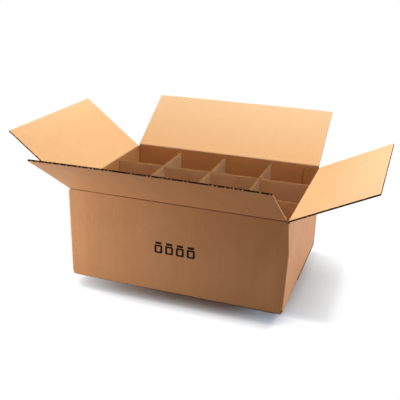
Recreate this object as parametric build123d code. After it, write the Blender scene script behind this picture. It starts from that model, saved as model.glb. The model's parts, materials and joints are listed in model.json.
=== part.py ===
from build123d import *
import os
from math import cos, hypot, radians, sin

# Twelve-jar shipping carton: a slotted carton folded from one sheet of corrugated board, its glued bottom
# closed and its four top flaps open, with a set of five interlocking dividers standing inside.
# X runs along the carton, Y from the front wall to the back wall, Z up from the floor it stands on.

# Driving dimensions, in millimetres and degrees

# Dividers and cells
cells_along = 4                 # jar cells along X
cells_across = 3                # jar cells along Y
cell_side = 98.0                # clear side of a cell, for a one-kilogram jar
divider_board = 3.0             # thickness of the dividers' board
divider_height = 163.0          # from the carton's floor to the dividers' top edges
divider_play = 1.0              # gap between a divider's end and the wall
slot_play = 0.3                 # gap on each side of a divider in its slot
slot_overlap = 0.5              # how much deeper than half the height each slot is cut
slot_lead = 1.5                 # lead-in on each side of a slot's mouth

# Board and folds
board = 3.0                     # thickness of the carton's board, single B flute
liner = 0.3                     # thickness of each facing sheet
medium = 0.3                    # thickness of the fluted sheet between the facings
flute_pitch = 6.5               # from one flute to the next
fold_radius = 2.5               # outer radius of the folds
crease_play = 0.1               # clearance between the mitred sides of a top crease when its flap is closed
crush = 8.0                     # depth of board crushed flat beside a top crease

# Walls and bottom
slot_reach = 1.0                # how far the slots between the flaps run past the score lines
bottom_seam = -18.0             # Y of the seam between the outer bottom flaps
seam_gap = 2.0                  # width of the seams, at the bottom and between the closed top flaps
tab_width = 34.0                # glue tab, from the carton's right end
tab_taper = 1.0                 # drop of the glue tab's slanted ends
tab_inset = 2.2                 # from the folds to the glue tab's ends

# Top flaps
main_setback = 4.0              # from the carton's ends to the ends of the front and back flaps
side_play = 3.0                 # from the inside of the front and back walls to the side flaps
flap_play = 0.2                 # clearance between closed flaps, and between them and the dividers
front_angle = 36.4              # rise of each open flap above the horizontal, outwards
back_angle = 33.6
left_angle = 38.0
right_angle = 26.2

# Sizes that follow

inside_length = cells_along * cell_side + (cells_along - 1) * divider_board + 2 * divider_play
inside_width = cells_across * cell_side + (cells_across - 1) * divider_board + 2 * divider_play
length = inside_length + 2 * board
width = inside_width + 2 * board
floor_top = 2 * board
divider_top = floor_top + divider_height
side_score = divider_top + flap_play + board
main_score = side_score + board + flap_play
flap_depth = (width - seam_gap) / 2
main_span = length - 2 * main_setback
side_span = inside_width - 2 * side_play
crease_gap = liner + crease_play
slot_floor = board + fold_radius + slot_reach
slot_top = side_score - slot_reach
cell_step = cell_side + divider_board

# Directions
UP = Vector(0, 0, 1)
FRONT = Vector(0, -1, 0)
BACK = Vector(0, 1, 0)
LEFT = Vector(-1, 0, 0)
RIGHT = Vector(1, 0, 0)


def section(*points):
    """Closed flat section through the given points."""
    return make_face(Polyline(*points, close=True))


def rounded_fold(profile, corner):
    """Round the outer corner where a wall turns into its bottom flap."""
    return fillet(profile.vertices().sort_by_distance(corner)[0], fold_radius)


def folded_wall(outward, distance, run, shift, flap_run, score, level, flap_reach):
    """One wall with its bottom flap, creased along the top where its top flap turns.

    The sections are drawn x inwards from the wall's outer face and y up. `run` and `flap_run` are the lengths of
    the wall and of its flap, and `shift` moves the wall along itself.
    """
    along = UP.cross(outward)
    plane = Plane(outward * distance, x_dir=-outward, z_dir=along)
    wall_middle = Plane(outward * distance + along * shift, x_dir=-outward, z_dir=along)
    crest = score - crease_gap
    mitre = crest - board + liner
    wall = section((0, slot_floor), (0, crest), (liner, crest), (board, mitre), (board, slot_floor))
    fold = section(
        (0, level), (0, crest), (liner, crest), (board, mitre),
        (board, level + board), (flap_reach, level + board), (flap_reach, level),
    )
    fold = rounded_fold(fold, (0, level))
    return extrude(wall_middle * wall, run / 2, both=True) + extrude(plane * fold, flap_run / 2, both=True)


def corner_fold(x_side, y_side, reach):
    """Upright fold between two walls, its outer edge rounded. `reach` is its outer face's Y distance."""
    column = section((0, 0), (board, 0), (board, board), (0, board))
    column = fillet(column.vertices().sort_by_distance((0, 0))[0], fold_radius)
    place = Plane((x_side * length / 2, y_side * reach, slot_floor), x_dir=(-x_side, 0, 0), z_dir=(0, 0, 1))
    upright = extrude(column, slot_top - slot_floor)
    if x_side * y_side < 0:
        upright = mirror(upright, Plane.XZ)
    return place * upright


def glue_tab():
    """Tab that runs on from the right wall and laps inside the back wall, its ends slanted."""
    low = slot_floor + tab_inset
    high = slot_top - tab_inset
    root = length / 2 - board
    tip = length / 2 - tab_width
    outline = section((root, low), (tip, low + tab_taper), (tip, high - tab_taper), (root, high))
    inner_face = Plane((0, width / 2 - board, 0), x_dir=(1, 0, 0), z_dir=(0, -1, 0))
    return extrude(inner_face * outline, board)


def carton_body():
    """Four walls, glue tab and the glued bottom: two side flaps inside, two long flaps outside.

    At the back right the wall folds inside the back wall, which ends in a cut edge flush with the right wall.
    """
    front_reach = width / 2 + bottom_seam - seam_gap / 2
    back_reach = width / 2 - bottom_seam - seam_gap / 2
    lap_shift = -board / 2
    walls = [
        folded_wall(FRONT, width / 2, inside_length, 0, inside_length, main_score, 0, front_reach),
        folded_wall(BACK, width / 2, inside_length + board, lap_shift, inside_length, main_score, 0, back_reach),
        folded_wall(LEFT, length / 2, inside_width, 0, side_span, side_score, board, flap_depth),
        folded_wall(RIGHT, length / 2, inside_width - board, lap_shift, side_span, side_score, board, flap_depth),
    ]
    corners = [
        corner_fold(-1, -1, width / 2),
        corner_fold(1, -1, width / 2),
        corner_fold(-1, 1, width / 2),
        corner_fold(1, 1, width / 2 - board),
    ]
    return walls[0] + walls[1:] + corners + glue_tab()


def flute_voids(span):
    """Triangular channels between the facings and the zigzag sheet, across the edge of a flap."""
    core = board - 2 * liner
    half = flute_pitch / 2
    slope = hypot(half, core)
    base = half - medium / 2 * slope / core
    tip = core - medium / 2 * slope / half
    count = int(span / half) - 1
    first = -(count - 1) / 2 * half
    voids = []
    for k in range(count):
        at = first + half * k
        floor, rise = (liner, tip) if k % 2 == 0 else (board - liner, -tip)
        voids.append(Wire.make_polygon([(at - base, floor), (at + base, floor), (at, floor + rise)]))
    return voids


def top_flap(span, outward, distance, score, angle):
    """Fluted flap, crushed and mitred at its crease, open at `angle` above the horizontal."""
    root = section(
        (crease_gap, 0), (crush, 0), (crush, board), (crease_gap + board - liner, board), (crease_gap, liner),
    )
    root_plane = Plane((0, 0, 0), x_dir=(0, 1, 0), z_dir=(1, 0, 0))
    edge = Wire.make_polygon([(-span / 2, 0), (span / 2, 0), (span / 2, board), (-span / 2, board)])
    edge_plane = Plane((0, flap_depth, 0), x_dir=(1, 0, 0), z_dir=(0, -1, 0))
    fluted = extrude(edge_plane * Face(edge, flute_voids(span)), flap_depth - crush)
    flap = extrude(root_plane * root, span / 2, both=True) + fluted
    rise = radians(angle)
    crease = Plane(
        outward * distance + UP * score,
        x_dir=outward.cross(UP),
        z_dir=UP * cos(rise) - outward * sin(rise),
    )
    return crease * flap


def divider(span, crossings, slots_up):
    """One divider, standing in the XZ plane, slotted to half its height at each crossing."""
    sheet = Pos(0, 0, divider_height / 2) * Box(span, divider_board, divider_height)
    gap = divider_board / 2 + slot_play
    depth = divider_height / 2 + slot_overlap
    slot = section(
        (-gap - slot_lead, 0), (gap + slot_lead, 0), (gap, slot_lead), (gap, depth), (-gap, depth), (-gap, slot_lead),
    )
    if slots_up:
        slot = Pos(0, divider_height) * mirror(slot, Plane.XZ)
    standing = Plane((0, divider_board / 2, 0), x_dir=(1, 0, 0), z_dir=(0, -1, 0))
    cuts = [extrude(standing * (Pos(at, 0) * slot), divider_board) for at in crossings]
    return sheet - cuts


def crossings(cells):
    """Places of the dividers between a row of cells, about its middle."""
    return [(k - cells / 2) * cell_step for k in range(1, cells)]


cross_places = crossings(cells_along)
long_places = crossings(cells_across)
long_sheet = divider(inside_length - 2 * divider_play, cross_places, slots_up=True)
cross_sheet = divider(inside_width - 2 * divider_play, long_places, slots_up=False)

parts = {
    "carton_body": carton_body(),
    "front_flap": top_flap(main_span, FRONT, width / 2, main_score, front_angle),
    "back_flap": top_flap(main_span, BACK, width / 2, main_score, back_angle),
    "left_flap": top_flap(side_span, LEFT, length / 2, side_score, left_angle),
    "right_flap": top_flap(side_span, RIGHT, length / 2, side_score, right_angle),
}
for name, place in zip(("front_long_divider", "rear_long_divider"), long_places):
    parts[name] = Pos(0, place, floor_top) * long_sheet
for name, place in zip(("left_cross_divider", "middle_cross_divider", "right_cross_divider"), cross_places):
    parts[name] = Pos(place, 0, floor_top) * Rot(0, 0, 90) * cross_sheet

os.makedirs("parts", exist_ok=True)
for name, solid in parts.items():
    export_step(solid, f"parts/{name}.step")
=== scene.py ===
"""Looks of the twelve-cell shipping carton: corrugated board, creases, dividers and studio."""

import json
import logging
import math
from abc import ABC, abstractmethod
from dataclasses import dataclass, field
from enum import Enum

import bpy
import numpy as np
from bpy.types import Material, Node, NodeSocket, NodeTree, Object
from mathutils import Matrix, Vector


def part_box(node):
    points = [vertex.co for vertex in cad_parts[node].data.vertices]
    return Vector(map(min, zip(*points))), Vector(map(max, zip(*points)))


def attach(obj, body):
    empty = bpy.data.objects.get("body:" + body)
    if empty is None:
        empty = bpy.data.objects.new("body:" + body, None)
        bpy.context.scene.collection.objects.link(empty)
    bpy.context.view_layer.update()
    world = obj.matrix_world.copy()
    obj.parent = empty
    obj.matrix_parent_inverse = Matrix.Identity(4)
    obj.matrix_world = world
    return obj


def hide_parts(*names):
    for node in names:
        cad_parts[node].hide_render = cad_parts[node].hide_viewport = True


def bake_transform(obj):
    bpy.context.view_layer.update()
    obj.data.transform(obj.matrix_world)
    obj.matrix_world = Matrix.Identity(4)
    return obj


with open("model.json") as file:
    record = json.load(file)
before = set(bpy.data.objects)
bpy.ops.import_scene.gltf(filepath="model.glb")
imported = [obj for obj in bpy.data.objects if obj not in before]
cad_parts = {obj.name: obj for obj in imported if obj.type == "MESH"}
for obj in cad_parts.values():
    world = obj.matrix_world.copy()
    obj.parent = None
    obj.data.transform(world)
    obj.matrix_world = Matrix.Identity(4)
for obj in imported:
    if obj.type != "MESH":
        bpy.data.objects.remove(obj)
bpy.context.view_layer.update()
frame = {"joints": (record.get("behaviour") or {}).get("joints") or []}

LOG = logging.getLogger("carton")
MM = 0.001
UP = np.array((0.0, 0.0, 1.0))

Array = np.ndarray

# Map of the flat sheet, in metres, and the marks that a mesh carries for its finishes
SHEET_MAP = "sheet"
PLY = "ply"
WEAR = "wear"
# The score mark carries the pressed score line and also painted shade in creases, inner corners and at the
# glue tab's tip
SCORE_AND_SHADE = "score"
SCUFF = "scuff"

# Places past one side of the carton's foot, in metres, each with how far the paper has turned white there
Fade = tuple[tuple[float, float], ...]


# Small helpers

def linear(hex_code: str) -> tuple[float, float, float, float]:
    """Turn an sRGB hex colour into linear light.

    Args:
        hex_code: Six hex digits after a hash.

    Returns:
        Red, green, blue and an alpha of one.
    """
    parts = [int(hex_code[k:k + 2], 16) / 255 for k in (1, 3, 5)]
    light = [c / 12.92 if c <= 0.04045 else ((c + 0.055) / 1.055) ** 2.4 for c in parts]
    return (*light, 1.0)


def smooth(t: Array) -> Array:
    """Ease from 0 to 1 as t goes from 0 to 1: 3 t squared less 2 t cubed, held at both ends."""
    t = np.clip(t, 0.0, 1.0)
    return t * t * (3 - 2 * t)


def bell(distance: Array, reach: float) -> Array:
    """Fall from 1 at no distance: e to the power of minus the square of distance over reach."""
    return np.exp(-(distance / reach) ** 2)


def rimmed(low: float, high: float, step: float, rim: float) -> Array:
    """Even samples from low to high, with closer ones beside both ends.

    Args:
        low: First sample.
        high: Last sample.
        step: Longest distance between samples.
        rim: Distance of the first closer sample from an end; two more follow, each twice as far.

    Returns:
        Rising samples.
    """
    even = np.linspace(low, high, max(2, math.ceil((high - low) / step) + 1))
    close = rim * np.array((1.0, 2.0, 4.0))
    clear = 6 * rim
    inner = even[(even > low + clear) & (even < high - clear)]
    return np.concatenate(([low], low + close, inner, (high - close)[::-1], [high]))


def grid(u: Array, v: Array) -> list[Array]:
    """Both coordinates of a grid, columns along u by rows along v."""
    return np.meshgrid(u, v, indexing="ij")


class Side(Enum):
    """The carton's four sides, each with the way that it faces."""

    FRONT = (0.0, -1.0, 0.0)
    BACK = (0.0, 1.0, 0.0)
    LEFT = (-1.0, 0.0, 0.0)
    RIGHT = (1.0, 0.0, 0.0)

    @property
    def outward(self) -> Array:
        """Unit vector out of the carton."""
        return np.array(self.value)

    @property
    def along(self) -> Array:
        """Unit vector along the side, anticlockwise from above."""
        return np.cross(UP, self.outward)


# Nodes and the patterns that finishes share

def feed(tree: NodeTree, node: Node, inputs: dict) -> None:
    """Feed a node's inputs.

    Args:
        tree: Node tree that holds the node.
        node: The node.
        inputs: Socket name or number, with the value or the output socket that feeds it.
    """
    for key, value in inputs.items():
        if isinstance(value, NodeSocket):
            tree.links.new(value, node.inputs[key])
        else:
            node.inputs[key].default_value = value


def add_node(tree: NodeTree, kind: str, inputs: dict, out: int | str = 0, **settings: object) -> NodeSocket:
    """Add one node, set its properties and feed its inputs.

    Args:
        tree: Node tree that takes the node.
        kind: Node type, after the words that all of them start with.
        inputs: Socket name or number, with the value or the output socket that feeds it.
        out: Name or number of the output that is wanted.
        **settings: Properties of the node.

    Returns:
        That output socket.
    """
    made = tree.nodes.new("ShaderNode" + kind)
    for key, value in settings.items():
        setattr(made, key, value)
    feed(tree, made, inputs)
    return made.outputs[out]


def clouds(tree: NodeTree, size_mm: float, detail: float, roughness: float = 0.5) -> NodeSocket:
    """Clouds of fibre, alike in every direction.

    Args:
        tree: Node tree that takes the pattern.
        size_mm: Size of a cloud.
        detail: How many times finer clouds are added.
        roughness: Strength of each finer cloud.

    Returns:
        The pattern, about a half.
    """
    place = add_node(tree, "TexCoord", {}, "Object")
    return add_node(tree, "TexNoise", {
        "Vector": place, "Scale": 1 / (size_mm * MM), "Detail": detail, "Roughness": roughness,
    })


def streaks(
    tree: NodeTree, size_mm: tuple[float, float], detail: float, roughness: float = 0.5,
) -> NodeSocket:
    """Streaks of fibre along the flutes: the place on the sheet is divided by their size, then clouded.

    Args:
        tree: Node tree that takes the pattern.
        size_mm: Width and length of a streak.
        detail: How many times finer streaks are added.
        roughness: Strength of each finer streak.

    Returns:
        The pattern, about a half.
    """
    sheet = add_node(tree, "UVMap", {}, uv_map=SHEET_MAP)
    drawn_out = (1 / (size_mm[0] * MM), 1 / (size_mm[1] * MM), 1.0)
    place = add_node(tree, "VectorMath", {0: sheet, 1: drawn_out}, operation="MULTIPLY")
    return add_node(tree, "TexNoise", {
        "Vector": place, "Scale": 1.0, "Detail": detail, "Roughness": roughness,
    })


def flute_wave(tree: NodeTree, pitch_mm: float) -> NodeSocket:
    """Sine of the place across the flutes, with one turn to a flute.

    Args:
        tree: Node tree that takes the pattern.
        pitch_mm: Distance from one flute to the next.

    Returns:
        The wave, from -1 to 1.
    """
    sheet = add_node(tree, "UVMap", {}, uv_map=SHEET_MAP)
    across = add_node(tree, "SeparateXYZ", {0: sheet}, "X")
    phase = add_node(tree, "Math", {0: across, 1: 2 * math.pi / (pitch_mm * MM)}, operation="MULTIPLY")
    return add_node(tree, "Math", {0: phase}, operation="SINE")


def layered(tree: NodeTree, ground: str, layers: tuple[tuple[NodeSocket, str], ...]) -> NodeSocket:
    """Lay colours over one another.

    Args:
        tree: Node tree that takes the colours.
        ground: Hex colour at the bottom.
        layers: Share of each layer, from 0 to 1, and its hex colour, from the lowest up.

    Returns:
        The colour.
    """
    colour = linear(ground)
    # The colour sockets of a mix are its inputs 6 and 7 and its output 2
    for share, over in layers:
        colour = add_node(tree, "Mix", {0: share, 6: colour, 7: linear(over)}, 2, data_type="RGBA")
    return colour


def seen_rays(tree: NodeTree) -> NodeSocket:
    """Tell the rays that show a surface, to the camera, in gloss or through glass, from those that light it.

    Args:
        tree: Node tree that takes the test.

    Returns:
        1 for rays that show the surface, otherwise 0.
    """
    rays = add_node(tree, "LightPath", {}).node.outputs
    seen = rays["Is Camera Ray"]
    for kind in ("Is Glossy Ray", "Is Transmission Ray"):
        seen = add_node(tree, "Math", {0: seen, 1: rays[kind]}, operation="MAXIMUM")
    return seen


# Finishes

@dataclass(frozen=True)
class Finish(ABC):
    """A finish, by the name of its material."""

    name: str

    def material(self) -> Material:
        """Make the material.

        Returns:
            The finished material.
        """
        made = bpy.data.materials.new(self.name)
        made.use_nodes = True
        self.fill(made.node_tree, made.node_tree.nodes["Principled BSDF"])
        return made

    @abstractmethod
    def fill(self, tree: NodeTree, shader: Node) -> None:
        """Fill the node tree.

        Args:
            tree: The material's node tree.
            shader: Its shader.
        """


@dataclass(frozen=True)
class KraftLiner(Finish):
    """Unbleached kraft liner, rolled on a paper machine and glued over the flutes.

    The eye sees matt tan paper: cloudy fibre, broad faint bands and fine streaks along the flutes, dark
    recycled flecks, and a trace of washboard where the flutes print through. Score lines are darker, rims and
    scuffs paler. The score mark also carries painted shade in creases and corners, and painted light can
    make the paper paler towards a flap's free edge.
    """

    pale: str
    deep: str
    fleck: str
    # worn is the colour of bare, rubbed fibre and also of the painted light towards a flap's free edge
    worn: str
    # score is the colour of the score line and also of the painted shade that the score mark carries
    score: str
    # Pattern sizes, of which a pair is a width across the flutes and a length along them
    pitch_mm: float = 6.5
    cloud_mm: float = 38.0
    band_mm: tuple[float, float] = (32.0, 500.0)
    # Real fibre streaks are under 1 mm wide and flecks under 0.5 mm: both are drawn coarser, to show
    streak_mm: tuple[float, float] = (2.6, 22.0)
    fleck_mm: float = 3.0
    dent_mm: float = 12.0
    painted_light_mm: float = 150.0
    washboard_depth_mm: float = 0.10
    # How much each pattern tells, and the levels of a pattern between which a mark comes in
    cloud_gain: float = 0.7
    band_gain: float = 0.8
    streak_gain: float = 0.3
    washboard_gain: float = 0.03
    painted_light_gain: float = 0.0
    fleck_gain: float = 0.2
    dent_gain: float = 60.0
    fleck_levels: tuple[float, float] = (0.68, 0.82)
    scuff_levels: tuple[float, float] = (0.56, 0.70)
    score_levels: tuple[float, float] = (0.35, 0.65)
    score_depth: float = 0.6
    score_least: float = 0.6
    relief: float = 0.10
    washboard_relief: float = 0.5
    roughness: tuple[float, float] = (0.92, 0.76)
    gloss: float = 0.12
    sheen: float = 0.0
    sheen_tint: str = "#FFDFBE"

    def fill(self, tree: NodeTree, shader: Node) -> None:
        """Fill the paper's node tree: its tone, the marks over it, its relief and its gloss.

        Args:
            tree: The material's node tree.
            shader: Its shader.
        """
        cloud = clouds(tree, self.cloud_mm, detail=3.0, roughness=0.55)
        streak = streaks(tree, self.streak_mm, detail=3.0, roughness=0.6)
        band = streaks(tree, self.band_mm, detail=2.0, roughness=0.6)
        washboard = flute_wave(tree, self.pitch_mm)
        rim, knocked, crease = (
            add_node(tree, "Attribute", {}, "Fac", attribute_name=mark) for mark in (WEAR, SCUFF, SCORE_AND_SHADE)
        )

        # Tone runs from deep, at 0, to pale, at 1
        tone = 0.5 - (self.cloud_gain + self.streak_gain + self.band_gain) / 2
        for pattern, gain in (
            (cloud, self.cloud_gain), (band, self.band_gain), (streak, self.streak_gain),
            (washboard, self.washboard_gain),
        ):
            tone = add_node(tree, "Math", {0: pattern, 1: gain, 2: tone}, operation="MULTIPLY_ADD")

        # Painted light: the paper is paler towards a flap's free edge, away from the crease
        sheet = add_node(tree, "UVMap", {}, uv_map=SHEET_MAP)
        off_crease = add_node(tree, "SeparateXYZ", {0: sheet}, "Y")
        painted_light = add_node(tree, "MapRange", {
            "Value": off_crease, "From Max": self.painted_light_mm * MM, "To Max": self.painted_light_gain,
        })

        # Flecks are the rare peaks of a fine noise, and scuffs are the peaks of the streaks
        spots = clouds(tree, self.fleck_mm, detail=1.0)
        flecked, peaks = (
            add_node(tree, "MapRange", {
                "Value": pattern, "From Min": levels[0], "From Max": levels[1], "To Max": gain,
            }, interpolation_type="SMOOTHSTEP")
            for pattern, levels, gain in (
                (spots, self.fleck_levels, self.fleck_gain), (streak, self.scuff_levels, 1.0),
            )
        )

        # A score, and the painted shade on its mark, is pressed unevenly; bare fibre at the rims is streaked
        pressure = add_node(tree, "MapRange", {
            "Value": cloud, "From Min": self.score_levels[0], "From Max": self.score_levels[1],
            "To Min": self.score_least * self.score_depth, "To Max": self.score_depth,
        })
        dent = clouds(tree, self.dent_mm, detail=2.0)
        rubbed, scuffed, pressed, dented = (
            add_node(tree, "Math", {0: mark, 1: pattern}, operation="MULTIPLY")
            for mark, pattern in ((rim, streak), (knocked, peaks), (crease, pressure), (knocked, dent))
        )
        paper = layered(tree, self.deep, (
            (tone, self.pale), (painted_light, self.worn), (flecked, self.fleck), (rubbed, self.worn),
            (scuffed, self.worn), (pressed, self.score),
        ))
        height = streak
        for pattern, gain in ((washboard, self.washboard_relief), (dented, self.dent_gain)):
            height = add_node(tree, "Math", {0: pattern, 1: gain, 2: height}, operation="MULTIPLY_ADD")
        feed(tree, shader, {
            "Base Color": paper,
            "Roughness": add_node(tree, "MapRange", {
                "Value": streak, "To Min": self.roughness[0], "To Max": self.roughness[1],
            }),
            "Normal": add_node(tree, "Bump", {
                "Height": height, "Strength": self.relief, "Distance": self.washboard_depth_mm * MM,
            }),
            "Specular IOR Level": self.gloss,
            "Sheen Weight": self.sheen,
            "Sheen Tint": linear(self.sheen_tint),
        })


@dataclass(frozen=True)
class CutEdge(Finish):
    """Die-cut edge of corrugated board.

    The eye sees two pale lines, the facings, with the dark mouths of the flutes between them, painted as
    shade on the flat edge, and torn fibre in pale specks.
    """

    facing: str
    # The colour between the facings is painted shade of the flutes' open mouths on a flat edge
    core: str
    web: str
    torn: str
    pitch_mm: float = 6.5
    # Torn fibre is finer than this: it is drawn as coarse as a render can show
    torn_mm: float = 3.5
    web_swing: float = 0.36
    web_levels: tuple[float, float] = (0.20, 0.08)
    facing_levels: tuple[float, float] = (0.34, 0.42)
    torn_levels: tuple[float, float] = (0.60, 0.72)
    roughness: float = 0.95
    gloss: float = 0.0

    def fill(self, tree: NodeTree, shader: Node) -> None:
        """Fill the edge's node tree: facings by depth through the board, webs by the place along it.

        The web crosses the board's middle as a sine from facing to facing. Each layer comes in between its
        two levels.

        Args:
            tree: The material's node tree.
            shader: Its shader.
        """
        ply = add_node(tree, "Attribute", {}, "Fac", attribute_name=PLY)
        middle = add_node(tree, "Math", {0: ply, 1: 0.5}, operation="SUBTRACT")
        wave = flute_wave(tree, self.pitch_mm)
        web = add_node(tree, "Math", {0: wave, 1: -self.web_swing, 2: middle}, operation="MULTIPLY_ADD")
        to_web, to_middle = (
            add_node(tree, "Math", {0: offset}, operation="ABSOLUTE") for offset in (web, middle)
        )
        fibre = clouds(tree, self.torn_mm, detail=2.0)
        webbed, faced, ragged = (
            add_node(tree, "MapRange", {
                "Value": pattern, "From Min": levels[0], "From Max": levels[1],
            }, interpolation_type="SMOOTHSTEP")
            for pattern, levels in (
                (to_web, self.web_levels), (to_middle, self.facing_levels), (fibre, self.torn_levels),
            )
        )
        feed(tree, shader, {
            "Base Color": layered(tree, self.core, (
                (webbed, self.web), (faced, self.facing), (ragged, self.torn),
            )),
            "Roughness": self.roughness,
            "Specular IOR Level": self.gloss,
        })


@dataclass(frozen=True)
class FlutedMedium(Finish):
    """Recycled fluting medium, corrugated hot between toothed rolls.

    The eye sees rough paper streaked along each flute. Its near-black colour is painted shade of the
    hollows between the facings, darker than the liners.
    """

    pale: str
    deep: str
    # Real fibre is finer: the streaks are drawn as wide as a render can show
    streak_mm: tuple[float, float] = (2.0, 25.0)
    relief: float = 0.3
    relief_mm: float = 0.2
    roughness: float = 0.95
    gloss: float = 0.0

    def fill(self, tree: NodeTree, shader: Node) -> None:
        """Fill the medium's node tree.

        Args:
            tree: The material's node tree.
            shader: Its shader.
        """
        streak = streaks(tree, self.streak_mm, detail=2.0)
        feed(tree, shader, {
            "Base Color": layered(tree, self.deep, ((streak, self.pale),)),
            "Normal": add_node(tree, "Bump", {
                "Height": streak, "Strength": self.relief, "Distance": self.relief_mm * MM,
            }),
            "Roughness": self.roughness,
            "Specular IOR Level": self.gloss,
        })


@dataclass(frozen=True)
class FlexoInk(Finish):
    """Water-based flexographic ink, stamped by a rubber plate.

    The eye sees a matt brown-black, a little thinner and browner in patches.
    """

    solid: str
    thin: str
    mottle_mm: float = 4.0
    thin_levels: tuple[float, float] = (0.5, 0.8)
    roughness: float = 0.7
    gloss: float = 0.1

    def fill(self, tree: NodeTree, shader: Node) -> None:
        """Fill the ink's node tree.

        Args:
            tree: The material's node tree.
            shader: Its shader.
        """
        thinned = add_node(tree, "MapRange", {
            "Value": clouds(tree, self.mottle_mm, detail=3.0),
            "From Min": self.thin_levels[0], "From Max": self.thin_levels[1],
        })
        feed(tree, shader, {
            "Base Color": layered(tree, self.solid, ((thinned, self.thin),)),
            "Roughness": self.roughness,
            "Specular IOR Level": self.gloss,
        })


@dataclass(frozen=True)
class ShadowPatch:
    """Stretch by the carton's foot where the real shadow shows, fading to painted white towards each side."""

    left: Fade
    right: Fade
    front: Fade
    back: Fade


@dataclass(frozen=True)
class StudioSweep(Finish):
    """Paper sweep: the eye sees painted plain white, and lit paper with its real shadow by the carton's foot.
    """

    foot_m: tuple[float, float]
    # The paper that the camera sees is tinted blue to take the carton's brown bounce out of its shadow
    paper: str = "#B4C8E1"
    bounce: str = "#A09078"
    white: str = "#FFFFFF"
    patches: tuple[ShadowPatch, ...] = (
        # In front of the carton
        ShadowPatch(
            ((-0.220, 0.0), (-0.110, 0.34), (-0.060, 0.58), (-0.040, 0.70), (-0.018, 1.0)),
            ((-0.019, 0.0), (-0.004, 0.64), (0.011, 0.85), (0.031, 0.97), (0.050, 1.0)),
            ((0.004, 0.0), (0.012, 0.16), (0.032, 0.52), (0.042, 0.80), (0.058, 1.0)),
            ((-0.200, 0.0), (-0.100, 1.0)),
        ),
        # At its right
        ShadowPatch(
            ((-0.400, 0.0), (-0.380, 1.0)),
            ((0.0, 0.53), (0.020, 0.69), (0.070, 0.86), (0.088, 0.98), (0.100, 1.0)),
            ((-0.020, 0.0), (0.0, 0.45), (0.012, 0.8), (0.022, 1.0)),
            ((-0.168, 0.0), (-0.088, 0.42), (-0.048, 0.6), (-0.008, 1.0)),
        ),
        # At its left and behind it
        ShadowPatch(
            ((0.0, 0.3), (0.035, 1.0)),
            ((-0.060, 0.0), (-0.010, 1.0)),
            ((-0.070, 0.0), (-0.030, 1.0)),
            ((0.0, 0.3), (0.050, 1.0)),
        ),
    )

    def turned(self, tree: NodeTree, axis: str, half: float, low: Fade, high: Fade) -> NodeSocket:
        """How far the paper has turned white along one axis: a ramp through the stops of both sides, squared.

        Args:
            tree: The material's node tree.
            axis: Name of the axis.
            half: Half the foot's length along it.
            low: Fade past the foot's low side.
            high: Fade past its high side.

        Returns:
            The share, from 0 to 1.
        """
        stops = [(-half - past, white) for past, white in reversed(low)]
        stops += [(half + past, white) for past, white in high]
        first, last = stops[0][0], stops[-1][0]
        place = add_node(tree, "TexCoord", {}, "Object")
        along = add_node(tree, "MapRange", {
            "Value": add_node(tree, "SeparateXYZ", {0: place}, axis), "From Min": first, "From Max": last,
        })
        ramp = add_node(tree, "ValToRGB", {"Fac": along})
        colours = ramp.node.color_ramp.elements
        for k, (at, white) in enumerate(stops):
            stop = colours.new((at - first) / (last - first)) if k else colours[0]
            stop.color = (white, white, white, 1.0)
        return add_node(tree, "Math", {0: ramp, 1: 2.0}, operation="POWER")

    def fill(self, tree: NodeTree, shader: Node) -> None:
        """Fill the sweep's node tree: lit paper by the carton's foot, plain white to the camera further off.

        In each patch the share of white is the sum of both axes' shares. The least of all the patches holds.

        Args:
            tree: The material's node tree.
            shader: Its shader, which gives way to plain diffuse paper.
        """
        tree.nodes.remove(shader)
        # Painted light: the white share glows over the lit paper, and sets where its real shadow shows and
        # how far
        white_share = 1.0
        for patch in self.patches:
            along_x = self.turned(tree, "X", self.foot_m[0], patch.left, patch.right)
            along_y = self.turned(tree, "Y", self.foot_m[1], patch.front, patch.back)
            share = add_node(tree, "Math", {0: along_x, 1: along_y}, operation="ADD", use_clamp=True)
            white_share = add_node(tree, "Math", {0: white_share, 1: share}, operation="MINIMUM")
        seen = seen_rays(tree)
        tint = layered(tree, self.bounce, ((seen, self.paper),))
        surface = add_node(tree, "MixShader", {
            0: add_node(tree, "Math", {0: white_share, 1: seen}, operation="MULTIPLY"),
            1: add_node(tree, "BsdfDiffuse", {"Color": tint}),
            2: add_node(tree, "Emission", {"Color": linear(self.white), "Strength": 1.0}),
        })
        feed(tree, tree.nodes["Material Output"], {"Surface": surface})


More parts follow.
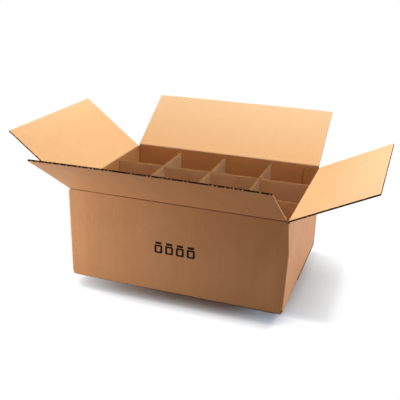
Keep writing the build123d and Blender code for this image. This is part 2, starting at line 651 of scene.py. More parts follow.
@dataclass
class Finishes:
    """Every finish on the carton, made once."""

    outside: Material = field(default_factory=KraftLiner(
        "brown_kraft_liner", "#D2996A", "#C08758", "#8A5A33", "#DFBA92", "#5A2A0C",
        score_depth=1.0, roughness=(0.62, 0.46), gloss=0.2, sheen=0.06,
    ).material)
    inside: Material = field(default_factory=KraftLiner(
        "tan_kraft_liner", "#EFBF8A", "#E5AF7A", "#A5713F", "#F3CFA2", "#7A4C28",
        cloud_gain=0.6, band_gain=0.3, streak_gain=0.25, washboard_gain=0.015, painted_light_gain=0.6,
    ).material)
    # Inside the walls the same paper is given a deeper tan than on the open flaps, as painted shade
    shaded_lining: Material = field(default_factory=KraftLiner(
        "unfaded_tan_kraft_liner", "#DDA56E", "#D0965F", "#A5713F", "#E8BC8C", "#5C3417",
        cloud_gain=0.6, band_gain=0.3, streak_gain=0.25, washboard_gain=0.015,
    ).material)
    partition: Material = field(default_factory=KraftLiner(
        "recycled_grey_kraft", "#E2BD95", "#CEA37A", "#8C6440", "#EAD2B2", "#7D5836",
        cloud_gain=0.9, band_gain=0.5, streak_gain=0.25, washboard_gain=0.015,
    ).material)
    edge: Material = field(default_factory=CutEdge(
        "die_cut_board_edge", "#84562F", "#240D02", "#6E3E1C", "#E2BE92",
    ).material)
    partition_edge: Material = field(default_factory=CutEdge(
        "sheared_divider_edge", "#A67C52", "#7C5632", "#8C643C", "#CDA476",
    ).material)
    medium: Material = field(default_factory=FlutedMedium(
        "recycled_fluting_medium", "#341A09", "#1E0D03",
    ).material)
    ink: Material = field(default_factory=FlexoInk("brown_black_flexo_ink", "#140B06", "#2E1D12").material)


# Meshes of board

def board_quads(keep: Array) -> tuple[Array, Array, Array]:
    """Quads of a closed board over the kept cells of a grid.

    Front points are numbered along the grid's rows and rear points follow them. Each edge of a kept cell with
    no kept cell beyond it gets a quad from front to rear.

    Args:
        keep: True for each cell that holds board.

    Returns:
        Quads of the front, of the rear and of the cut edges.
    """
    index = np.arange((keep.shape[0] + 1) * (keep.shape[1] + 1)).reshape(keep.shape[0] + 1, -1)
    a, b, c, d = index[:-1, :-1], index[1:, :-1], index[1:, 1:], index[:-1, 1:]
    behind = index.size
    padded = np.pad(keep, 1)
    edges = []
    for p, q, beyond in (
        (a, b, padded[1:-1, :-2]), (b, c, padded[2:, 1:-1]),
        (c, d, padded[1:-1, 2:]), (d, a, padded[:-2, 1:-1]),
    ):
        rim = keep & ~beyond
        edges.append(np.stack((q[rim], p[rim], p[rim] + behind, q[rim] + behind), axis=-1))
    front = np.stack((a, b, c, d), axis=-1)[keep]
    rear = np.stack((a, d, c, b), axis=-1)[keep] + behind
    return front, rear, np.concatenate(edges)


@dataclass
class BoardMesh:
    """Closed boards of one piece, gathered before they go into a mesh."""

    points: list[Array] = field(default_factory=list)
    quads: list[Array] = field(default_factory=list)
    finish: list[Array] = field(default_factory=list)
    chart: list[Array] = field(default_factory=list)
    marks: dict[str, list[Array]] = field(
        default_factory=lambda: {mark: [] for mark in (PLY, WEAR, SCORE_AND_SHADE, SCUFF)},
    )
    count: int = 0

    def add(
        self, front: Array, rear: Array, chart: Array, finish: tuple[int, int, int],
        keep: Array | None = None, wear: Array | float = 0.0, score: Array | float = 0.0,
        scuff: Array | float = 0.0, fluted: Array | float = 0.0,
    ) -> None:
        """Add one closed board, a grid of front points joined to a grid of rear points round its edges.

        Args:
            front: Points of the front face, columns by rows by three.
            rear: Points of the rear face.
            chart: Place on the flat sheet, columns by rows by two, in metres.
            finish: Material numbers of the front, the rear and the cut edges.
            keep: True for each cell that holds board; all cells if left out.
            wear: Bare rim, from 0 to 1, on both faces or by face, as are the next two.
            score: Pressed score line, and painted shade in creases, corners and at the glue tab's tip, from 0
                to 1.
            scuff: Rubbed patch, from 0 to 1.
            fluted: 1 where the edge shows flutes' mouths as colour, 0 where it is crushed or one sheet.
        """
        shape = front.shape[:2]
        if keep is None:
            keep = np.ones((shape[0] - 1, shape[1] - 1), bool)
        faces = board_quads(keep)
        across = np.cross(front[1:, :-1] - front[:-1, :-1], front[:-1, 1:] - front[:-1, :-1])
        facing = np.sum(across * (front - rear)[:-1, :-1], axis=-1)[keep].sum()
        quads = np.concatenate(faces)
        if facing < 0:
            quads = quads[:, ::-1]
        used, quads = np.unique(quads, return_inverse=True)
        self.points.append(np.concatenate((front.reshape(-1, 3), rear.reshape(-1, 3)))[used])
        self.quads.append(quads.reshape(-1, 4) + self.count)
        self.finish.append(np.repeat(finish, [len(part) for part in faces]))
        self.chart.append(np.concatenate((chart.reshape(-1, 2),) * 2)[used])
        ply = np.stack((np.zeros(shape), np.broadcast_to(fluted, shape)))
        for mark, value in ((PLY, ply), (WEAR, wear), (SCORE_AND_SHADE, score), (SCUFF, scuff)):
            self.marks[mark].append(np.broadcast_to(value, (2, *shape)).ravel()[used])
        self.count += len(used)

    def build(self, name: str, materials: list[Material], sharp_deg: float = 40.0) -> Object:
        """Put the boards into one mesh object.

        Args:
            name: Name of the piece.
            materials: Materials by number.
            sharp_deg: Angle between faces from which an edge is sharp.

        Returns:
            The object, linked to the scene.
        """
        quads = np.concatenate(self.quads)
        mesh = bpy.data.meshes.new(name)
        mesh.vertices.add(self.count)
        mesh.vertices.foreach_set("co", np.concatenate(self.points).astype(np.float32).ravel())
        mesh.loops.add(quads.size)
        mesh.loops.foreach_set("vertex_index", quads.astype(np.int32).ravel())
        mesh.polygons.add(len(quads))
        mesh.polygons.foreach_set("loop_start", np.arange(0, quads.size, 4, dtype=np.int32))
        mesh.polygons.foreach_set("material_index", np.concatenate(self.finish).astype(np.int32))
        mesh.update(calc_edges=True)
        chart = np.concatenate(self.chart)[quads.ravel()]
        mesh.uv_layers.new(name=SHEET_MAP).data.foreach_set("uv", chart.astype(np.float32).ravel())
        for mark, values in self.marks.items():
            attribute = mesh.attributes.new(mark, "FLOAT", "POINT")
            attribute.data.foreach_set("value", np.concatenate(values).astype(np.float32))
        mesh.shade_smooth()
        mesh.set_sharp_from_angle(angle=math.radians(sharp_deg))
        for material in materials:
            mesh.materials.append(material)
        piece = bpy.data.objects.new(name, mesh)
        bpy.context.scene.collection.objects.link(piece)
        return piece


@dataclass(frozen=True)
class Corrugated:
    """Single-wall corrugated board: two facings with a fluted sheet between them. Sizes in metres."""

    thickness: float = 3.0 * MM
    liner: float = 0.3 * MM
    medium: float = 0.4 * MM
    pitch: float = 6.5 * MM

    def wave(self, u: Array) -> Array:
        """Cosine of the place across the flutes, with one turn to a flute."""
        return np.cos(2 * np.pi * u / self.pitch)

    def flute(self, u: Array) -> Array:
        """Height of the fluted sheet's middle: half the board plus a cosine that touches both facings."""
        swing = (self.thickness - 2 * self.liner - self.medium) / 2
        return self.thickness / 2 + swing * self.wave(u)


# Sub-assemblies

@dataclass
class Assembly(ABC):
    """A part of the carton that builds and dresses its own pieces."""

    finishes: Finishes

    @abstractmethod
    def dress(self) -> list[Object]:
        """Build the pieces and put them on their CAD bodies.

        Returns:
            The pieces.
        """


@dataclass
class CartonBody(Assembly):
    """Walls, glue tab and glued bottom, folded from one sheet. Sizes in metres."""

    board: Corrugated
    length: float
    width: float
    main_score: float
    side_score: float
    crease_half: float
    fold_radius: float = 3.4 * MM
    slot_reach: float = 1.0 * MM
    seam_place: float = -18.0 * MM
    seam_gap: float = 2.0 * MM
    tab_width: float = 34.0 * MM
    tab_inset: float = 2.2 * MM
    tab_taper: float = 1.0 * MM
    knock_height: float = 117.0 * MM
    knock_push: float = 4.0 * MM
    knock_reach_x: float = 70.0 * MM
    knock_reach_y: float = 150.0 * MM
    crush_lift: float = 2.2 * MM
    crush_reach: float = 9.0 * MM
    crush_height: float = 30.0 * MM
    scuff_depth: float = 0.3
    scuff_centre: tuple[float, float] = (-132.0 * MM, 122.0 * MM)
    scuff_reach: tuple[float, float] = (40.0 * MM, 34.0 * MM)
    fold_wear: float = 0.35
    fold_wear_columns: int = 3
    # Painted shade inside the carton: at the glue tab's tip and along the upright folds
    tip_shade: float = 0.6
    tip_reach: float = 1.6 * MM
    corner_shade: float = 0.9
    corner_reach: float = 2.0 * MM
    column_step: float = 9.0 * MM
    column_rim: float = 1.0 * MM
    arc_columns: int = 8
    # The rims of the wall and of the bottom flap are shares of their length
    wall_rows: int = 30
    wall_rim: float = 0.008
    fold_rows: int = 7
    flap_rows: int = 10
    flap_rim: float = 0.01

    def settled(self, points: Array) -> Array:
        """Move points as rough handling has: the front right edge out, the front left bottom corner up.

        The push is a tent from the floor to the side flaps' score, highest at the knock and faded along both
        walls by an ease. The crush lifts the corner by e to the power of minus the distance over its reach.

        Args:
            points: Points of the carton, any shape by three.

        Returns:
            Moved points.
        """
        x, y, z = np.moveaxis(points, -1, 0)
        above_knock = (self.side_score - z) / (self.side_score - self.knock_height)
        tent = np.clip(np.minimum(z / self.knock_height, above_knock), 0, 1)
        along_x = smooth((x - self.length / 2 + self.knock_reach_x) / self.knock_reach_x)
        along_y = 1 - smooth((y + self.width / 2) / self.knock_reach_y)
        push = self.knock_push * tent * along_x * along_y
        away = np.hypot(x + self.length / 2, y + self.width / 2)
        lift = self.crush_lift * np.exp(-away / self.crush_reach) * (1 - smooth(z / self.crush_height))
        return points + np.stack((push, np.zeros_like(push), lift), axis=-1)

    def ring(self) -> dict[str, Array]:
        """Trace the sheet round the carton on its outer face, from the tab's tip to the back wall's cut end.

        Straight runs are joined by quarter arcs of the fold radius. Each column has its inward direction, its
        top and bottom heights, the level of its bottom flap and that flap's reach, 0 where there is none.

        Returns:
            Arrays by column: top, bottom, level, reach, place, inward and along, the distance walked.
        """
        x, y, b, r = self.length / 2, self.width / 2, self.board.thickness, self.fold_radius
        corners = np.array(((x - self.tab_width, y - b), (x, y - b), (x, -y), (-x, -y), (-x, y), (x, y)))
        slot_top = self.side_score - self.slot_reach
        slot_bottom = b + r + self.slot_reach
        flap = y - self.seam_gap / 2
        main = (self.main_score - self.crease_half, r, 0.0)
        side = (self.side_score - self.crease_half, b + r, b)
        runs = (
            (slot_top - self.tab_inset, slot_bottom + self.tab_inset, 0.0, 0.0),
            (*side, flap), (*main, flap + self.seam_place), (*side, flap), (*main, flap - self.seam_place),
        )
        last = len(runs) - 1
        columns = []
        for k, (top, bottom, level, reach) in enumerate(runs):
            ahead = (corners[k + 1] - corners[k]) / np.linalg.norm(corners[k + 1] - corners[k])
            inward = np.array((ahead[1], -ahead[0]))
            start = corners[k] + ahead * (r if k else 0)
            finish = corners[k + 1] - ahead * (r if k < last else 0)
            t = rimmed(0, np.linalg.norm(finish - start), self.column_step, self.column_rim)
            taper = self.tab_taper * (1 - t / t[-1]) if k == 0 else 0 * t
            columns.append(np.column_stack((
                start + ahead * t[:, None], np.tile(inward, (len(t), 1)), top - taper, bottom + taper,
                np.full_like(t, level), np.full_like(t, reach),
            )))
            if k < last:
                turn = np.linspace(0, np.pi / 2, self.arc_columns + 2)[1:-1, None]
                fold_inward = inward * np.cos(turn) - ahead * np.sin(turn)
                columns.append(np.column_stack((
                    finish + (inward - fold_inward) * r, fold_inward,
                    np.tile((slot_top, slot_bottom, 0.0, 0.0), (self.arc_columns, 1)),
                )))
        table = np.concatenate(columns)
        flat = np.zeros(len(table))
        steps = np.linalg.norm(np.diff(table[:, :2], axis=0), axis=1)
        found = dict(zip(("top", "bottom", "level", "reach"), table[:, 4:].T))
        found["place"] = np.column_stack((table[:, :2], flat))
        found["inward"] = np.column_stack((table[:, 2:4], flat))
        found["along"] = np.concatenate(([0.0], np.cumsum(steps)))
        return found

    def sheet(self) -> Object:
        """Fold the walls, corners, glue tab and bottom flaps as one sheet over a grid.

        Columns run round the carton and rows from the top, down the wall, round the bottom fold and in along
        the bottom flap: height falls to the fold's radius, then the outer face turns a quarter circle and
        runs inwards. The rear face is the front one moved in by the board's thickness along the sheet's own
        normal. Inside, painted shade darkens the upright folds and the glue tab's tip, by a bell curve of the
        distance along the sheet.

        Returns:
            The piece.
        """
        ring = self.ring()
        top, bottom, level, reach, place, inward, along = (values[:, None] for values in ring.values())
        r = self.fold_radius
        down = rimmed(0, 1, 1 / self.wall_rows, self.wall_rim)
        turn = np.linspace(0, np.pi / 2, self.fold_rows)[1:]
        out = rimmed(0, 1, 1 / self.flap_rows, self.flap_rim)[1:]

        def rows(*runs: Array | float) -> Array:
            """Join the values of the wall, the fold and the flap, columns by rows."""
            sizes = [(len(along), len(part)) for part in (down, turn, out)]
            return np.concatenate([np.broadcast_to(*run) for run in zip(runs, sizes)], axis=1)

        wall = top + (bottom - top) * down
        height = rows(wall, level + r - r * np.sin(turn), level)
        depth = rows(0.0, r - r * np.cos(turn), r + (reach - r) * out)
        lean = rows(0.0, turn, np.pi / 2)[..., None]
        walked = rows(wall, level + r - r * turn, level - r * (np.pi / 2 - 1) - reach * out)
        front = place + inward * depth[..., None] + UP * height[..., None]
        rear = front + (inward * np.cos(lean) + UP * np.sin(lean)) * self.board.thickness
        chart = np.stack(np.broadcast_arrays(along, walked), axis=-1)
        flapped = (reach[:-1] > 0) & (reach[1:] > 0)
        keep = (np.arange(front.shape[1] - 1) < len(down) - 1) | flapped

        facing = ring["inward"][:, 0]
        bends = np.diff(facing, prepend=facing[0]) != 0
        spread = np.full(self.fold_wear_columns, self.fold_wear / self.fold_wear_columns)
        wear = np.convolve(bends, spread, mode="same")[:, None]
        across = bell(front[..., 0] - self.scuff_centre[0], self.scuff_reach[0])
        upright = bell(front[..., 2] - self.scuff_centre[1], self.scuff_reach[1])
        scuff = self.scuff_depth * across * upright * (front[..., 1] < r - self.width / 2)
        # Painted shade along the inner upright folds and at the glue tab's tip, carried on the score mark
        to_fold = np.min(np.abs(along - along[bends].T), axis=1)[:, None]
        corner = self.corner_shade * bell(to_fold, self.corner_reach) * (height > self.board.thickness)
        shade = np.maximum(self.tip_shade * bell(along, self.tip_reach), corner)
        mesh = BoardMesh()
        mesh.add(
            self.settled(front), self.settled(rear), chart, (0, 1, 2), keep, wear,
            score=np.stack((0 * shade, shade)), scuff=scuff, fluted=along >= self.tab_width - r,
        )
        return mesh.build("carton_sheet", [self.finishes.outside, self.finishes.shaded_lining, self.finishes.edge])

    def dress(self) -> list[Object]:
        """Build the body and put it on its CAD body.

        Returns:
            The piece.
        """
        sheet = self.sheet()
        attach(sheet, "carton")
        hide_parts("carton_body")
        return [sheet]


@dataclass
class TopFlap(Assembly):
    """One open top flap: fluted board, and the crease that joins it to its wall. Sizes in metres."""

    side: Side
    board: Corrugated
    hinge: Array
    rise: float
    span: float
    depth: float
    crease_half: float
    body: str
    droop: float
    painted_light_start: float
    painted_pale_ends: bool
    root_play: float = 0.4 * MM
    turn_half: float = 0.8 * MM
    groove: float = 0.9 * MM
    groove_reach: float = 1.3 * MM
    inner_shade: float = 0.6
    burr: float = 0.05 * MM
    burr_reach: float = 1.0 * MM
    tuft_level: float = 1.1
    tuft_reach: float = 1.9 * MM
    tuft_ragged: float = 0.6
    side_inset: float = 0.05 * MM
    side_ragged: float = 0.3 * MM
    rim: float = 1.2 * MM
    step: float = 12.0 * MM
    side_step: float = 3.0 * MM
    side_rows: int = 3
    samples_per_flute: int = 12
    seed: int = 4
    crease_rows: int = 25
    crease_sharp_deg: float = 60.0

    @classmethod
    def from_frame(
        cls, finishes: Finishes, side: Side, board: Corrugated, crease_half: float, droop: float,
        painted_light_start: float,
    ) -> "TopFlap":
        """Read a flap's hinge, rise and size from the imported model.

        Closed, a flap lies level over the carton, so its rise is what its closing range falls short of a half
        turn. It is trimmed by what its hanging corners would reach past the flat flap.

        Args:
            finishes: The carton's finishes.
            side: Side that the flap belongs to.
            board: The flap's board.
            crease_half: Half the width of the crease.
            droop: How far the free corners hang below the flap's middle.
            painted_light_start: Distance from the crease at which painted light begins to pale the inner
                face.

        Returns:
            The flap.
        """
        body = f"{side.name.lower()}_flap"
        joint = next(j for j in frame["joints"] if j["child"] == body)
        hinge = np.array(joint["pos_m"])
        rise = math.pi - math.radians(joint["range_deg"][1])
        low, high = (np.array(corner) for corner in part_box(body))
        span = abs((high - low) @ side.along)
        reach = max((low - hinge) @ side.outward, (high - hinge) @ side.outward)
        depth = reach / math.cos(rise) - droop * math.tan(rise)
        # The front and back flaps' side strips are pale paper, as painted light
        painted_pale = side in (Side.FRONT, Side.BACK)
        return cls(
            finishes, side, board, hinge, rise, span, depth, crease_half, body, droop, painted_light_start, painted_pale,
        )

    @property
    def way(self) -> Array:
        """Unit vector from the crease to the free edge."""
        return self.side.outward * math.cos(self.rise) + UP * math.sin(self.rise)

    @property
    def normal(self) -> Array:
        """Unit vector out of the flap's inner face."""
        return UP * math.cos(self.rise) - self.side.outward * math.sin(self.rise)

    @property
    def columns(self) -> Array:
        """Places along the crease, from its middle."""
        return rimmed(-self.span / 2, self.span / 2, self.step, self.rim)

    def place(self, u: Array, v: Array | float, w: Array | float) -> Array:
        """Put places on the flap into space.

        The free corners droop with the squares of both distances.

        Args:
            u: Distance along the crease from its middle.
            v: Distance from the crease.
            w: Distance in from the outer face.

        Returns:
            Points, by the shape of u, v and w together.
        """
        u, v, w = np.broadcast_arrays(u, v, w)
        hang = self.droop * (2 * u / self.span) ** 2 * (v / self.depth) ** 2
        flat = self.hinge + u[..., None] * self.side.along + v[..., None] * self.way
        return flat + (w - hang)[..., None] * self.normal

    def fluted_board(self) -> Object:
        """Build the flap's two facings and the fluted sheet between them, open along the free edge.

        At the free edge the knife has spread the fluted sheet: its thickness grows by e to the power of minus
        the distance from the edge over the burr's reach. It has also shut a part of each flute's mouth, where
        the cosine of the flute is over a ragged level. A ragged strip closes each side, where the cut runs
        along a flute: pale paper on the front and back flaps, as painted light, and the cut edge with its
        painted shade on the side flaps.

        Returns:
            The piece.
        """
        outside, inside, medium, edge = range(4)
        rng = np.random.default_rng(self.seed)
        t, liner = self.board.thickness, self.board.liner
        u = self.columns
        root = self.crease_half + self.root_play
        v = rimmed(root, self.depth, self.step, self.rim)
        grid_u, grid_v = grid(u, v)
        from_end = np.minimum(u - u[0], u[-1] - u)[:, None]
        from_edge = np.minimum(v - v[0], v[-1] - v)
        wear = np.exp(-np.minimum(from_end, from_edge) / self.rim)
        mesh = BoardMesh()
        # The facings' sides towards the flutes take the medium, whose near-black colour is painted shade
        for face, back, paper in ((0.0, liner, outside), (t, t - liner, inside)):
            mesh.add(
                self.place(grid_u, grid_v, face), self.place(grid_u, grid_v, back),
                np.stack((grid_u, grid_v - self.painted_light_start), axis=-1), (paper, medium, edge), wear=wear,
            )

        count = math.ceil(self.span / self.board.pitch * self.samples_per_flute)
        fine = np.linspace(-self.span / 2, self.span / 2, count + 1)
        fine_u, fine_v = grid(fine, v)
        half = self.board.medium / 2 + self.burr * np.exp((fine_v - self.depth) / self.burr_reach)
        wave = np.clip(self.board.flute(fine_u), liner + half, t - liner - half)
        mesh.add(
            self.place(fine_u, fine_v, wave - half), self.place(fine_u, fine_v, wave + half),
            np.stack((fine_u, fine_v), axis=-1), (medium, medium, edge),
        )

        tuft_u, tuft_w = grid(fine, np.array((liner, self.tuft_reach)))
        torn = rng.uniform(-self.tuft_ragged, self.tuft_ragged, count)
        torn = np.repeat(torn, self.samples_per_flute)[:count]
        shut = self.board.wave(fine[:-1]) + torn > self.tuft_level
        mesh.add(
            self.place(tuft_u, self.depth, tuft_w), self.place(tuft_u, self.depth - liner, tuft_w),
            np.stack((tuft_u, tuft_w), axis=-1), (inside, medium, inside), shut[:, None],
        )

        side_v = np.linspace(root, self.depth, round(self.depth / self.side_step))
        side_v, side_w = grid(side_v, np.linspace(liner, t - liner, self.side_rows))
        # Painted light: pale paper on the front and back flaps' sides; the side flaps keep the dark cut edge
        strip = inside if self.painted_pale_ends else edge
        for end in (-1, 1):
            cut = end * (self.span / 2 - self.side_inset - self.side_ragged * rng.random(side_v.shape))
            mesh.add(
                self.place(cut, side_v, side_w), self.place(cut - end * liner, side_v, side_w),
                np.stack((side_v, side_w), axis=-1), (strip, medium, strip),
            )
        used = self.finishes
        return mesh.build(self.body + "_board", [used.outside, used.inside, used.medium, used.edge])

    def crease(self) -> Object:
        """Build the crease, a strip that turns from the wall to the flap about the score line.

        Its outer face follows the wall up to the score and the flap away from it, with a groove pressed along
        the score, a bell curve of the distance from it, coloured darker by the same bell: partly crushed
        fibre, partly painted shade of the groove. Its normal eases from the wall's to the flap's, so its
        inner face, a board's thickness away, is a round ridge, with painted shade on the wall's half. It runs
        on to the flap's board, which starts a little past the crease, clear of the wall when the flap is
        closed.

        Returns:
            The piece.
        """
        u = self.columns
        s = np.linspace(-self.crease_half, self.crease_half, self.crease_rows)
        s = np.append(s, self.crease_half + self.root_play)
        past = smooth((s + self.turn_half) / (2 * self.turn_half))
        turn = (math.pi / 2 - self.rise) * past
        normal = -self.side.outward * np.cos(turn)[:, None] + UP * np.sin(turn)[:, None]
        path = np.minimum(s, 0)[:, None] * UP + np.maximum(s, 0)[:, None] * self.way
        pressed = bell(s, self.groove_reach)
        skin = self.hinge + u[:, None, None] * self.side.along + path
        front = skin + normal * (self.groove * pressed)[:, None]
        rear = skin + normal * self.board.thickness
        # Score line partly as painted shade of the groove; the inner face's wall half gets painted shade like
        # the walls
        score = np.stack((pressed, self.inner_shade * (1 - past)))[:, None]
        mesh = BoardMesh()
        mesh.add(front, rear, np.stack(grid(u, s), axis=-1), (0, 1, 2), score=score, fluted=1.0)
        used = self.finishes
        return mesh.build(
            self.body + "_crease", [used.outside, used.inside, used.edge], self.crease_sharp_deg,
        )

    def dress(self) -> list[Object]:
        """Build the flap and its crease and put them on their CAD bodies.

        Returns:
            The pieces.
        """
        flap = self.fluted_board()
        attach(flap, self.body)
        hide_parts(self.body)
        crease = self.crease()
        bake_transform(crease)
        return [flap, crease]


@dataclass
class DividerSet(Assembly):
    """Five slotted dividers, each halved over the others. Sizes in metres."""

    long_nodes: tuple[str, ...] = ("front_long_divider", "rear_long_divider")
    cross_nodes: tuple[str, ...] = ("left_cross_divider", "middle_cross_divider", "right_cross_divider")
    slot_play: float = 0.3 * MM
    slot_overlap: float = 0.5 * MM
    slot_lead: float = 1.5 * MM
    slot_margin: float = 6.0 * MM
    bow: float = 1.0 * MM
    roughness: float = 0.35 * MM
    wear_reach: float = 1.5 * MM
    step: float = 5.0 * MM
    rows: int = 18
    seed: int = 12

    def sheet(self, node: str, crossings: list[float], slots_up: bool, rng: np.random.Generator) -> Object:
        """Build one divider as a board on a grid, with its slots left out.

        Between crossings it bows by a sine over each cell, more towards its top, and its top edge is a little
        rough.

        Args:
            node: CAD node that it stands for.
            crossings: Places of the slots along the divider.
            slots_up: True where the slots open at the top edge.
            rng: Source of the small irregularities.

        Returns:
            The piece.
        """
        low, high = (np.array(corner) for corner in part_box(node))
        along, across = (0, 1) if high[0] - low[0] > high[1] - low[1] else (1, 0)
        thick = high[across] - low[across]
        height = high[2] - low[2]
        gap = thick / 2 + self.slot_play
        places = np.array(crossings)
        even = np.arange(low[along], high[along], self.step)
        even = even[np.min(np.abs(even[:, None] - places), axis=1) > self.slot_margin + gap]
        beside = [places + shift for shift in (-gap - self.slot_margin, -gap, gap, gap + self.slot_margin)]
        u = np.unique(np.concatenate((even, [low[along], high[along]], *beside)))
        end = height / 2 - self.slot_overlap if slots_up else height / 2 + self.slot_overlap
        lead = height - self.slot_lead if slots_up else self.slot_lead
        v = np.unique(np.concatenate((np.linspace(0, height, self.rows), [end, lead])))
        grid_u, grid_v = grid(u, v)
        middle_u, middle_v = (u[1:] + u[:-1]) / 2, (v[1:] + v[:-1]) / 2
        slotted = np.min(np.abs(middle_u[:, None] - places), axis=1) < gap
        open_rows = middle_v > end if slots_up else middle_v < end
        keep = ~(slotted[:, None] & open_rows)
        mouth = -1 if slots_up else 0
        grid_u[np.isin(u, places - gap), mouth] -= self.slot_lead
        grid_u[np.isin(u, places + gap), mouth] += self.slot_lead

        stops = np.concatenate(([low[along]], places, [high[along]]))
        cell = np.clip(np.searchsorted(stops, u) - 1, 0, len(stops) - 2)
        share = np.clip((u - stops[cell]) / (stops[cell + 1] - stops[cell]), 0, 1)
        swing = self.bow * rng.uniform(-1, 1, len(stops) - 1)[cell]
        lean = (swing * np.sin(np.pi * share))[:, None] * (grid_v / height)
        grid_v[:, -1] -= self.roughness * rng.random(len(u))

        front = np.zeros((*grid_u.shape, 3))
        front[..., along] = grid_u
        front[..., across] = lean + low[across]
        front[..., 2] = grid_v + low[2]
        rear = front.copy()
        rear[..., across] += thick
        mesh = BoardMesh()
        mesh.add(
            front, rear, np.stack((grid_u, grid_v), axis=-1), (0, 0, 1), keep,
            wear=np.exp(-(height - grid_v) / self.wear_reach), fluted=1.0,
        )
        return mesh.build(node + "_board", [self.finishes.partition, self.finishes.partition_edge])

    def dress(self) -> list[Object]:
        """Build the dividers and stand them in the carton.

        Returns:
            The pieces.
        """
        rng = np.random.default_rng(self.seed)
        middles = {node: sum(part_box(node), Vector()) / 2 for node in self.long_nodes + self.cross_nodes}
        long_places = [middles[node].y for node in self.long_nodes]
        cross_places = [middles[node].x for node in self.cross_nodes]
        pieces = []
        for nodes, places, slots_up in (
            (self.long_nodes, cross_places, True), (self.cross_nodes, long_places, False),
        ):
            for node in nodes:
                piece = self.sheet(node, places, slots_up, rng)
                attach(piece, "carton")
                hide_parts(node)
                pieces.append(piece)
        return pieces


@dataclass
class PrintedMark(Assembly):
    """Row of plain jar shapes printed on the front wall. Sizes in metres."""

    body: CartonBody
    jars: int = 4
    centre_x: float = 4.5 * MM
    centre_z: float = 88.0 * MM
    spacing: float = 20.5 * MM
    jar_width: float = 15.0 * MM
    jar_height: float = 22.0 * MM
    jar_corner: float = 2.4 * MM
    lid_width: float = 12.0 * MM
    lid_height: float = 4.4 * MM
    lid_corner: float = 0.6 * MM
    lid_gap: float = 1.4 * MM
    line: float = 3.5 * MM
    proud: float = 0.12 * MM
    columns: int = 17
    rows: int = 41

    def patch(self, low: float, high: float, width: float, corner: float) -> tuple[Array, Array]:
        """Grid of one printed patch: a rectangle with round corners, each row as wide as their arcs allow.

        Args:
            low: Height of its bottom.
            high: Height of its top.
            width: Its greatest width.
            corner: Radius of its corners.

        Returns:
            Distances from its middle, and heights, columns by rows.
        """
        z = low + (high - low) * (1 - np.cos(np.linspace(0, np.pi, self.rows))) / 2
        short = np.clip(corner - np.minimum(z - low, high - z), 0, corner)
        half = width / 2 - corner + np.sqrt(corner ** 2 - short ** 2)
        share = np.linspace(-1, 1, self.columns)
        return share[:, None] * half, np.broadcast_to(z, (self.columns, self.rows))

    def dress(self) -> list[Object]:
        """Print the row of jars, each a lid over a body drawn in outline.

        Returns:
            The piece.
        """
        mesh = BoardMesh()
        low = self.centre_z - self.jar_height / 2
        high = low + self.jar_height
        lid = high - self.lid_height
        shoulder = lid - self.lid_gap
        jar = self.patch(low, shoulder, self.jar_width, self.jar_corner)
        cap = self.patch(lid, high, self.lid_width, self.lid_corner)
        middle_x, middle_z = ((places[1:, 1:] + places[:-1, :-1]) / 2 for places in jar)
        from_side = self.jar_width / 2 - np.abs(middle_x)
        from_end = np.minimum(middle_z - low, shoulder - middle_z)
        outline = np.minimum(from_side, from_end) < self.line
        for k in range(self.jars):
            middle = self.centre_x + (k - (self.jars - 1) / 2) * self.spacing
            for (across, z), keep in ((jar, outline), (cap, None)):
                skin = np.stack((middle + across, np.full_like(z, -self.body.width / 2), z), axis=-1)
                rear = self.body.settled(skin)
                front = rear + Side.FRONT.outward * self.proud
                mesh.add(front, rear, skin[..., ::2], (0, 0, 0), keep)
        mark = mesh.build("printed_jar_row", [self.finishes.ink])
        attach(mark, "carton")
        return [mark]


# Studio

@dataclass(frozen=True)
class Softbox:
    """One soft lamp: where it hangs, where it points, its sides in metres and its power in watts."""

    name: str
    place: tuple[float, float, float]
    aim: tuple[float, float, float]
    size: tuple[float, float]
    power: float
    tint: str = "#FFFFFF"
    flagged: bool = False

    def hang(self) -> Object:
        """Put the lamp into the scene.

        Returns:
            The lamp.
        """
        data = bpy.data.lights.new(self.name, "AREA")
        data.shape = "RECTANGLE"
        data.size, data.size_y = self.size
        data.energy = self.power
        data.color = linear(self.tint)[:3]
        lamp = bpy.data.objects.new(self.name, data)
        lamp.location = self.place
        lamp.visible_camera = False
        lamp.rotation_euler = (Vector(self.aim) - Vector(self.place)).to_track_quat("-Z", "Y").to_euler()
        bpy.context.scene.collection.objects.link(lamp)
        return lamp


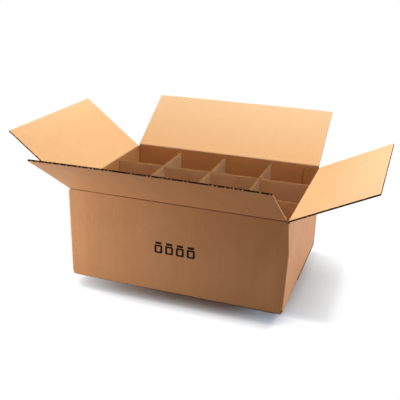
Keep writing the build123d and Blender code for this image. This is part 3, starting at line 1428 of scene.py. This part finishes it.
@dataclass
class Studio:
    """Floor, light and camera round the carton. Angles in degrees, sizes in metres."""

    foot: tuple[float, float]
    floor_half: float = 6.0
    azimuth: float = 18.98
    elevation: float = 21.41
    roll: float = -1.32
    stand: tuple[float, float, float] = (0.3793, -1.1109, 0.5872)
    lens_mm: float = 57.9
    sensor_mm: float = 36.0
    surround: str = "#FFFFFF"
    ambient: float = 0.05
    lamps: tuple[Softbox, ...] = (
        Softbox("overhead_softbox", (0.2, 0.21, 1.7), (0.0, 0.05, 0.1), (2.0, 0.2), 33.5),
        Softbox(
            "left_key_softbox", (-0.56, -0.36, 0.10), (-0.15, -0.154, 0.08), (0.16, 0.2), 2.75, flagged=True,
        ),
        Softbox(
            "low_reflector", (-0.03, -0.31, 0.008), (-0.03, -0.154, 0.02), (0.38, 0.02), 0.085, flagged=True,
        ),
        Softbox(
            "right_fill_softbox", (1.35, 0.35, 0.11), (0.2, 0.0, 0.10), (0.6, 0.16), 12.6, "#F8FAFF",
            flagged=True,
        ),
        Softbox("rear_fill_softbox", (-0.7, 1.6, 0.8), (0.0, 0.1, 0.1), (0.8, 0.8), 7.0),
    )

    def floor(self) -> Object:
        """Lay the white sweep flat.

        Returns:
            The floor.
        """
        half = self.floor_half
        corners = [(-half, -half, 0), (half, -half, 0), (half, half, 0), (-half, half, 0)]
        mesh = bpy.data.meshes.new("studio_floor")
        mesh.from_pydata(corners, [], [(0, 1, 2, 3)])
        mesh.materials.append(StudioSweep("white_paper_sweep", self.foot).material())
        floor = bpy.data.objects.new("studio_floor", mesh)
        bpy.context.scene.collection.objects.link(floor)
        return floor

    def world(self) -> None:
        """Surround the carton with white to the camera and a low even light to everything else."""
        world = bpy.data.worlds.new("studio_surround")
        bpy.context.scene.world = world
        world.use_nodes = True
        tree = world.node_tree
        feed(tree, tree.nodes["Background"], {
            "Color": linear(self.surround),
            "Strength": add_node(tree, "MapRange", {
                "Value": seen_rays(tree), "To Min": self.ambient, "To Max": 1.0,
            }),
        })

    def camera(self) -> Object:
        """Stand the camera at the photograph's viewpoint.

        Returns:
            The camera.
        """
        a, e, roll = (math.radians(x) for x in (self.azimuth, self.elevation, self.roll))
        ahead = Vector((-math.sin(a) * math.cos(e), math.cos(a) * math.cos(e), -math.sin(e)))
        level = Vector((math.cos(a), math.sin(a), 0))
        below = ahead.cross(level)
        right = level * math.cos(roll) + below * math.sin(roll)
        down = below * math.cos(roll) - level * math.sin(roll)
        data = bpy.data.cameras.new("studio_camera")
        data.lens = self.lens_mm
        data.sensor_width = self.sensor_mm
        camera = bpy.data.objects.new("studio_camera", data)
        turn = Matrix((right, -down, -ahead)).transposed().to_4x4()
        camera.matrix_world = Matrix.Translation(self.stand) @ turn
        bpy.context.scene.collection.objects.link(camera)
        bpy.context.scene.camera = camera
        return camera

    def set_up(self) -> None:
        """Build the whole studio, with the low lamps kept off the floor, as flags under them would."""
        bpy.context.scene.view_settings.view_transform = "Standard"
        shaded = bpy.data.collections.new("off_the_low_lamps")
        shaded.objects.link(self.floor())
        shaded.collection_objects[0].light_linking.link_state = "EXCLUDE"
        self.world()
        for softbox in self.lamps:
            lamp = softbox.hang()
            if softbox.flagged:
                lamp.light_linking.receiver_collection = shaded
        self.camera()


def main() -> None:
    """Build the carton's pieces in order, then the studio."""
    logging.basicConfig(level=logging.INFO, format="%(name)s: %(message)s")
    finishes = Finishes()
    board = Corrugated()
    crease_half = 3.0 * MM
    # The side flaps close under the others and stay flat, to leave room for them
    droops = {Side.FRONT: 1.5 * MM, Side.BACK: 0.8 * MM, Side.LEFT: 0.0, Side.RIGHT: 0.0}
    # On the side flaps the painted light starts further from the crease, on the left one furthest, as painted
    # shade
    painted_light_starts = {Side.FRONT: 0.0, Side.BACK: 0.0, Side.LEFT: 100.0 * MM, Side.RIGHT: 30.0 * MM}
    flaps = {
        side: TopFlap.from_frame(finishes, side, board, crease_half, droops[side], painted_light_starts[side])
        for side in Side
    }
    low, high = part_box("carton_body")
    main_score, side_score = (flaps[side].hinge[2] for side in (Side.FRONT, Side.LEFT))
    body = CartonBody(
        finishes, board, high.x - low.x, high.y - low.y, main_score, side_score, crease_half,
    )
    for part in (body, *flaps.values(), DividerSet(finishes), PrintedMark(finishes, body)):
        for piece in part.dress():
            LOG.info("%s: %d faces", piece.name, len(piece.data.polygons))
    Studio((body.length / 2, body.width / 2)).set_up()
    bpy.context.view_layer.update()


if __name__ == "__main__":
    main()
